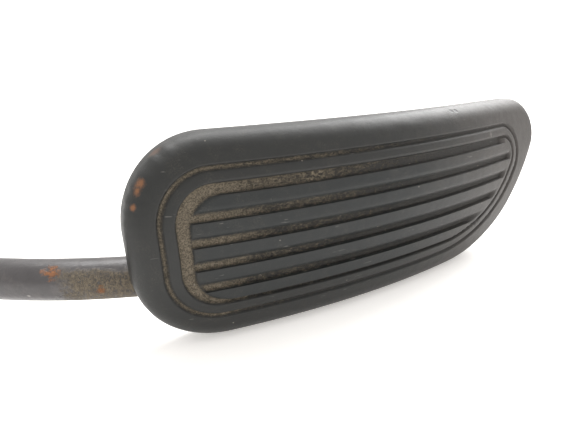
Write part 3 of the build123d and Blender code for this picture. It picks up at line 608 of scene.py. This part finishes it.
def build_tread(settings):
    """The cover as one closed mesh: the grooved face, the rolled rim, the lip and the inner face."""
    outline = rounded_plan(PAD_HEEL, PAD_TOE, PAD_UPPER, PAD_LOWER, PAD_HEEL_RADIUS, PAD_TIP_RADIUS,
                           PAD_BLEND_RADIUS)
    roll = settings.rim_round / MM
    border = roll + FACE_MARGIN
    piece = plan_grid("tread", *tread_lines())
    trim_grid(piece, outline, border)
    data = piece.data
    plan = read_points(data, "plan")[:, :2]
    sink, groove = tread_sink(plan, settings)
    write_points(data, "position", lifted(plan, sink) * MM + np.array(CREST))
    write_points(data, "groove", groove)
    for inset, depth, fall in rim_profile(roll):

        def rim_place(plan, inward):
            away = plan - np.array(WORN_CORNER)
            worn = np.exp(-(away ** 2).sum(1) / WORN_SPREAD) * (fall > 0) * WORN_HEIGHT
            worn = worn * (np.sin(plan[:, 0] * 1.9 + plan[:, 1] * 1.3) + np.sin(plan[:, 1] * 3.1))
            place = lifted(plan - inward * (border - inset - worn[:, None]), depth)
            place[:, 1] += fall
            return place

        extruded_ring(piece, rim_place)
    for share in (0.3, 0.6, 0.85):

        def floor_place(plan, inward):
            edge = plan - inward * (border - RIM_WALL)
            along = np.clip(edge[:, 0], SPINE_HEEL, SPINE_TOE)
            spine = np.column_stack((along, np.full(len(edge), SPINE_HEIGHT)))
            return lifted(edge + (spine - edge) * share, SKIN)

        extruded_ring(piece, floor_place)
    bpy.ops.object.mode_set(mode="EDIT")
    bpy.ops.mesh.edge_face_add()
    bpy.ops.mesh.select_all(action="SELECT")
    bpy.ops.mesh.normals_make_consistent(inside=False)
    bpy.ops.object.mode_set(mode="OBJECT")
    for name in ("plan", "inward"):
        data.attributes.remove(data.attributes[name])
    return piece


class PEDAL_OT_tread(bpy.types.Operator):
    """Model the rubber tread cover with its rings, ribs and rolled rim"""

    bl_idname = "pedal.tread"
    bl_label = "Tread cover"

    def execute(self, context):
        piece = build_tread(context.scene.pedal_tread)
        only(piece)
        bpy.ops.object.shade_smooth()
        bpy.ops.object.shade_smooth_by_angle(angle=math.radians(62))
        dress(piece, rubber_finish(context.scene.pedal_tread))
        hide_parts("tread_cover")
        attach(piece, "pad")
        return {"FINISHED"}


# ---------------------------------------------------------------- finishes

def rubber_finish(settings):
    """Satin black rubber: clean ribs, dust lying in the grooves at the heel, a pale toe that is partly worn
    film and partly painted highlight.
    """
    f = Finish("tread rubber", CREST)
    groove = f.attribute("groove")
    clouds = f.noise(0.09, 4.0, 0.6)
    mottle = f.noise(0.5, 4.0, 0.65)
    grain = f.noise(3.2, 5.0, 0.7)
    speck = f.noise(1.25, 5.0, 0.8, f.stretched(0.7, 1, 1.2))
    rubber = settings.rubber
    clean = f.mix(mottle, scaled(rubber, 0.75), scaled(rubber, 1.4))
    ribs = f.step(f.x, -50, -44) * f.step(f.z, -12.5, -11.5) * (1 - f.step(f.z, 12.5, 13.2))
    clean = f.mix(ribs * 0.7 * (1 - f.step(f.x, 20, 60)), clean, (0.0055, 0.0080, 0.0086))
    # painted highlight: the pale coat towards the toe stands partly for worn film and partly for the grazing
    # sheen there
    toe = f.step(f.x + (clouds - 0.5) * 40, 0, 80)
    film_and_sheen = toe * (0.45 + 0.5 * f.step(grain, 0.35, 0.65))
    colour = f.mix(film_and_sheen * 0.8, clean, settings.haze_and_sheen)
    # dust: thick at the heel, thinning towards the toe, sooner in the lower grooves
    edge = f.x - (f.z - RIB_TOP) * 0.9 + (clouds - 0.5) * 60
    thick = 1 - f.step(edge, -58, 30)
    lie = f.step(groove + (speck - 0.5) * 1.3, 0.25, 1.05)
    heel_end = 1 - f.step(f.x + (speck - 0.5) * 10, -45, -34)
    cover = lie * f.step(speck + thick * 0.34 + heel_end * 0.12, 0.56, 0.86)
    dust = f.mix(f.step(grain, 0.35, 0.65), scaled(settings.dust, 0.35), scaled(settings.dust, 1.15))
    pale = f.near((-18.0, 3.4, 14.2), 7.0, 0.9, 0.5) * f.step(speck, 0.4, 0.6)
    dust = f.mix(pale * 0.7, dust, (0.36, 0.30, 0.21))
    dark = f.mix(f.step(grain, 0.3, 0.7), (0.005, 0.0045, 0.004), (0.022, 0.019, 0.016))
    colour = f.mix(f.step(groove, 0.3, 1.0) * 0.8, colour, dark)
    colour = f.mix(cover * 0.8, colour, dust)
    # a thin veil of dust in patches over the face
    veil = f.step(f.noise(0.22, 5.0, 0.7), 0.45, 0.75) * f.step(grain, 0.42, 0.7)
    colour = f.mix(veil * 0.13, colour, settings.dust)
    stains = f.near((-56.0, 10.0, 17.0), 1.7, 0.9, 0.6).most(f.near((-56.5, 10.0, 15.2), 1.5, 0.9, 0.6))
    stains = stains.most(f.near((-58.1, 9.3, 12.2), 1.1, 0.8, 0.5))
    stains = stains.most(f.near((-51.3, 13.5, 22.4), 2.2, 0.9, 0.5) * 0.35)
    rust = f.mix(grain, scaled(settings.rust, 0.6), scaled(settings.rust, 1.2))
    colour = f.mix(stains * 0.6, colour, rust)
    nicks = f.near((33.1, 8.8, 25.1), 0.9, 0.5, 0.4).most(f.near((35.2, 8.9, 25.0), 0.9, 0.5, 0.4))
    colour = f.mix(nicks, colour, (0.004, 0.004, 0.004))
    streaks = f.noise(0.9, 2.0, 0.5, f.stretched(0.3, 1, 2.2))
    scratch = f.step(streaks, 0.69, 0.75) * f.step(clouds, 0.45, 0.6)
    scratch = scratch.most(f.near((50.2, 7.5, 16.9), 1.0, 0.5, 0.9))
    colour = f.mix(scratch * 0.35, colour, (0.20, 0.19, 0.175))
    chips = 1 - f.step(f.cells(0.3), 0.04, 0.065)
    colour = f.mix(chips * f.step(mottle, 0.5, 0.58) * 0.5, colour, (0.42, 0.38, 0.32))
    rough = 0.42 + mottle * 0.14 + cover * 0.4 + film_and_sheen * 0.1 + f.step(groove, 0.2, 0.9) * 0.15
    dent = f.noise(0.16, 3.0, 0.5)
    normal = f.bump(dent, 0.5, 0.5 * MM)
    normal = f.bump(grain, 0.4, 0.12 * MM, normal)
    normal = f.bump(speck * cover - nicks * 0.8, 0.9, 0.3 * MM, normal)
    return f.shade(colour, rough.least(0.95), normal, Specular_IOR_Level=0.44)


def rod_finish(settings, tread):
    """Worn satin paint, with rust and a caked dusty stretch next to the pad."""
    f = Finish("rod paint", CREST)
    mottle = f.noise(0.35, 5.0, 0.65)
    grain = f.noise(2.4, 5.0, 0.7)
    fibre = f.noise(1.3, 4.0, 0.75, f.stretched(1.2, 1.2, 0.7), 1.5)
    colour = f.mix(mottle, scaled(settings.paint, 0.7), scaled(settings.paint, 1.5))
    wear = f.step(f.noise(0.16, 5.0, 0.75), 0.5, 0.62)
    colour = f.mix(wear * 0.4, colour, (0.085, 0.075, 0.072))
    ragged = (mottle - 0.5) * 9
    caked = f.step(f.x + ragged, -75.5, -72.5) * (1 - f.step(f.x, -44, -36))
    height = f.z + ragged * 0.35 + (f.x + 66) * 0.1
    caked = caked * (1 - f.step(height, -4.4, -3.2)) * f.step(fibre, 0.34, 0.56)
    dusty = f.mix(grain, scaled(tread.dust, 0.3), f.mix(fibre, (0.26, 0.19, 0.10), scaled(tread.dust, 1.7)))
    colour = f.mix(caked * 0.85, colour, dusty)
    rust = f.near((-75.6, 23.8, -3.4), 2.0, 0.7, 1.3) * f.step(grain, 0.32, 0.5)
    rust = rust.most(f.near((-77.4, 25.2, -3.4), 1.2, 0.7, 1.3) * 0.6)
    rust = rust.most(f.near((-66.7, 18.3, -8.1), 1.3, 0.8, 1.3) * 0.8)
    rust = rust.most(f.step(f.noise(0.5, 5.0, 0.8), 0.67, 0.72) * (1 - f.step(f.x, -100, -90)))
    colour = f.mix(rust * 0.9, colour, f.mix(grain, scaled(tread.rust, 0.5), scaled(tread.rust, 1.5)))
    chip = f.near((-81.4, 25.8, -8.6), 0.5, 0.6, 0.8)
    colour = f.mix(chip * 0.45, colour, (0.40, 0.38, 0.36))
    rough = 0.27 + mottle * 0.14 + caked * 0.5 + rust * 0.4
    scab = f.near((-73.5, 21.5, -11.0), 3.4, 0.6, 0.9)
    normal = f.bump(mottle, 0.5, 0.35 * MM)
    normal = f.bump(grain * (caked + rust + scab + 0.08), 0.9, 0.5 * MM, normal)
    return f.shade(colour, rough.least(0.95), normal, Specular_IOR_Level=0.6)


def paint_finish(name, colour, tread, chips=0.62):
    """Satin black paint on pressed steel, chipped to rusty metal in places."""
    f = Finish(name)
    mottle = f.noise(0.15, 5.0, 0.65)
    peel = f.noise(1.3, 3.0, 0.5)
    grain = f.noise(3.0, 5.0, 0.7)
    shade = f.mix(mottle, scaled(colour, 0.7), scaled(colour, 1.6))
    dust = f.step(f.noise(0.07, 5.0, 0.7), 0.45, 0.75) * f.step(grain, 0.35, 0.7)
    shade = f.mix(dust * 0.3, shade, tread.dust)
    bare = f.step(f.noise(0.28, 6.0, 0.75), chips, chips + 0.04)
    shade = f.mix(bare * 0.85, shade, f.mix(grain, scaled(tread.rust, 0.2), scaled(tread.rust, 0.7)))
    rough = 0.36 + mottle * 0.15 + dust * 0.2 + bare * 0.4
    normal = f.bump(peel, 0.25, 0.12 * MM)
    normal = f.bump(grain * bare - bare * 0.6, 0.8, 0.25 * MM, normal)
    return f.shade(shade, rough.least(0.95), normal)


def plated_finish(name, colour, rough_base, tread):
    """Plated steel gone dull, with brown bloom and fine tooling marks."""
    f = Finish(name)
    bloom = f.noise(0.4, 5.0, 0.7)
    grain = f.noise(4.0, 4.0, 0.6)
    turned = f.noise(1.0, 3.0, 0.6, f.stretched(0.3, 0.3, 6.0))
    shade = f.mix(bloom, scaled(colour, 0.65), scaled(colour, 1.2))
    brown = f.step(bloom + (grain - 0.5) * 0.3, 0.56, 0.72)
    shade = f.mix(brown * 0.6, shade, scaled(tread.rust, 0.6))
    rough = rough_base + grain * 0.15 + brown * 0.3
    normal = f.bump(turned, 0.2, 0.06 * MM)
    return f.shade(shade, rough.least(0.95), normal, Metallic=0.9)


def nylon_finish(settings, tread):
    """Aged natural nylon with grime rubbed into it."""
    f = Finish("nylon")
    clouds = f.noise(0.3, 4.0, 0.6)
    grain = f.noise(2.5, 4.0, 0.6)
    shade = f.mix(clouds, scaled(settings.nylon, 0.75), scaled(settings.nylon, 1.1))
    grime = f.step(f.noise(0.55, 5.0, 0.7), 0.5, 0.7)
    shade = f.mix(grime * 0.6, shade, scaled(tread.dust, 0.5))
    normal = f.bump(grain, 0.2, 0.08 * MM)
    return f.shade(shade, 0.42 + grime * 0.3, normal)


def buffer_finish(tread):
    """Plain matt rubber with a dusty bloom."""
    f = Finish("buffer rubber")
    clouds = f.noise(0.4, 4.0, 0.65)
    grain = f.noise(3.0, 5.0, 0.7)
    shade = f.mix(f.step(clouds, 0.4, 0.75) * 0.35, scaled(tread.rubber, 1.4), tread.dust)
    normal = f.bump(grain, 0.4, 0.12 * MM)
    return f.shade(shade, 0.7 + grain * 0.15, normal)


def weld_finish(settings, tread):
    """A painted weld bead with the ripples of its run."""
    f = Finish("weld")
    grain = f.noise(1.4, 5.0, 0.7)
    ripple = f.node("ShaderNodeTexWave", {"bands_direction": "X", "wave_profile": "SAW"},
                    {"Vector": f.place, "Scale": 0.32, "Distortion": 3.0, "Detail": 2.0}, "Fac")
    shade = f.mix(grain, scaled(settings.bracket, 0.8), scaled(settings.bracket, 2.2))
    rusty = f.step(grain, 0.55, 0.68)
    shade = f.mix(rusty * 0.7, shade, scaled(tread.rust, 0.7))
    normal = f.bump(ripple + grain * 0.6, 0.9, 0.4 * MM)
    return f.shade(shade, 0.45 + rusty * 0.3, normal)


class PEDAL_OT_finishes(bpy.types.Operator):
    """Give every engineering piece its material"""

    bl_idname = "pedal.finishes"
    bl_label = "Metal and plastic finishes"

    def execute(self, context):
        metal, tread = context.scene.pedal_metal, context.scene.pedal_tread
        bracket = paint_finish("bracket paint", metal.bracket, tread)
        finishes = {
            "rod_paint": rod_finish(metal, tread),
            "bracket_paint": bracket,
            "plate_steel": paint_finish("plate steel", scaled(metal.paint, 0.8), tread, 0.60),
            "zinc_steel": plated_finish("zinc", metal.zinc, 0.34, tread),
            "spring_steel": plated_finish("spring steel", metal.spring, 0.28, tread),
            "nylon": nylon_finish(metal, tread),
            "buffer_rubber": buffer_finish(tread),
            "tread_rubber": bracket,
        }
        weld = weld_finish(metal, tread)
        for row in frame["record"]["subparts"]:
            node = row["node"]
            finish = weld if "weld" in node else finishes[row["material_slot"]]
            dress(frame["nodes"][node], finish)
        return {"FINISHED"}


# ---------------------------------------------------------------- springs

class PEDAL_OT_springs(bpy.types.Operator):
    """Put free, smooth-shaded copies of the two torsion springs in place of their engineering pieces"""

    bl_idname = "pedal.springs"
    bl_label = "Springs"

    def execute(self, context):
        spring = copy_of_node("return_spring", "return_spring_wire")
        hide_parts("return_spring")
        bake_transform(spring)
        spring = copy_of_node("pad_spring", "pad_spring_wire")
        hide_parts("pad_spring")
        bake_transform(spring)
        return {"FINISHED"}


# ---------------------------------------------------------------- stage

class PEDAL_OT_stage(bpy.types.Operator):
    """Set the pale floor, the soft light and the camera"""

    bl_idname = "pedal.stage"
    bl_label = "Stage"

    def execute(self, context):
        settings = context.scene.pedal_stage
        scene = context.scene
        low = Vector(CAD_BOX[0])
        clear_selection()
        bpy.ops.mesh.primitive_plane_add(size=6.0, location=(CREST.x, CREST.y, low.z))
        floor = context.view_layer.objects.active
        floor.name = "floor"
        f = Finish("floor", CREST)
        tint = f.noise(0.02, 2.0, 0.5)
        f.shade(f.mix(tint, scaled(settings.floor, 0.99), settings.floor), 0.8, None, Specular_IOR_Level=0.1,
                Emission_Color=(1.0, 0.965, 0.93, 1.0), Emission_Strength=0.35)
        dress(floor, f.material)
        world = bpy.data.worlds.new("surround")
        world.use_nodes = True
        backdrop = world.node_tree.nodes["Background"]
        backdrop.inputs["Color"].default_value = (1.0, 0.985, 0.965, 1.0)
        backdrop.inputs["Strength"].default_value = settings.sky
        scene.world = world
        for name, power, place, width, height in (
                ("overhead", settings.key, (0.04, 0.22, 0.42), 0.45, 0.22),
                ("past the toe", settings.side, (0.48, 0.20, 0.36), 0.34, 0.34)):
            panel = bpy.data.lights.new(name, "AREA")
            panel.shape = "RECTANGLE"
            panel.size = width
            panel.size_y = height
            panel.energy = power
            light = bpy.data.objects.new(name, panel)
            light.location = CREST + Vector(place)
            light.rotation_euler = (CREST - light.location).to_track_quat("-Z", "Y").to_euler()
            scene.collection.objects.link(light)
        lens = bpy.data.cameras.new("camera")
        lens.lens = settings.lens
        lens.sensor_width = 36.0
        lens.clip_start = 0.005
        camera = bpy.data.objects.new("camera", lens)
        camera.location = CREST + Vector(settings.camera_place)
        camera.rotation_euler = settings.camera_turn
        scene.collection.objects.link(camera)
        scene.camera = camera
        scene.view_settings.view_transform = "Standard"
        return {"FINISHED"}


# ---------------------------------------------------------------- panel and registration

class PEDAL_PT_panel(bpy.types.Panel):
    """Lists the pieces that can be made and their settings"""

    bl_idname = "PEDAL_PT_panel"
    bl_label = "Accelerator pedal"
    bl_space_type = "VIEW_3D"
    bl_region_type = "UI"
    bl_category = "Pedal"

    def draw(self, context):
        for operator in (PEDAL_OT_finishes, PEDAL_OT_tread, PEDAL_OT_springs, PEDAL_OT_stage):
            self.layout.operator(operator.bl_idname)
        for group in (context.scene.pedal_tread, context.scene.pedal_metal, context.scene.pedal_stage):
            for name in group.__annotations__:
                self.layout.prop(group, name)


CLASSES = (PedalTreadSettings, PedalMetalSettings, PedalStageSettings, PEDAL_OT_tread, PEDAL_OT_finishes,
           PEDAL_OT_springs, PEDAL_OT_stage, PEDAL_PT_panel)


def register():
    for item in CLASSES:
        bpy.utils.register_class(item)
    bpy.types.Scene.pedal_tread = PointerProperty(type=PedalTreadSettings)
    bpy.types.Scene.pedal_metal = PointerProperty(type=PedalMetalSettings)
    bpy.types.Scene.pedal_stage = PointerProperty(type=PedalStageSettings)


def unregister():
    del bpy.types.Scene.pedal_stage
    del bpy.types.Scene.pedal_metal
    del bpy.types.Scene.pedal_tread
    for item in reversed(CLASSES):
        bpy.utils.unregister_class(item)


def main():
    register()
    bpy.ops.pedal.finishes()
    bpy.ops.pedal.tread()
    bpy.ops.pedal.springs()
    bpy.ops.pedal.stage()


if __name__ == "__main__":
    main()
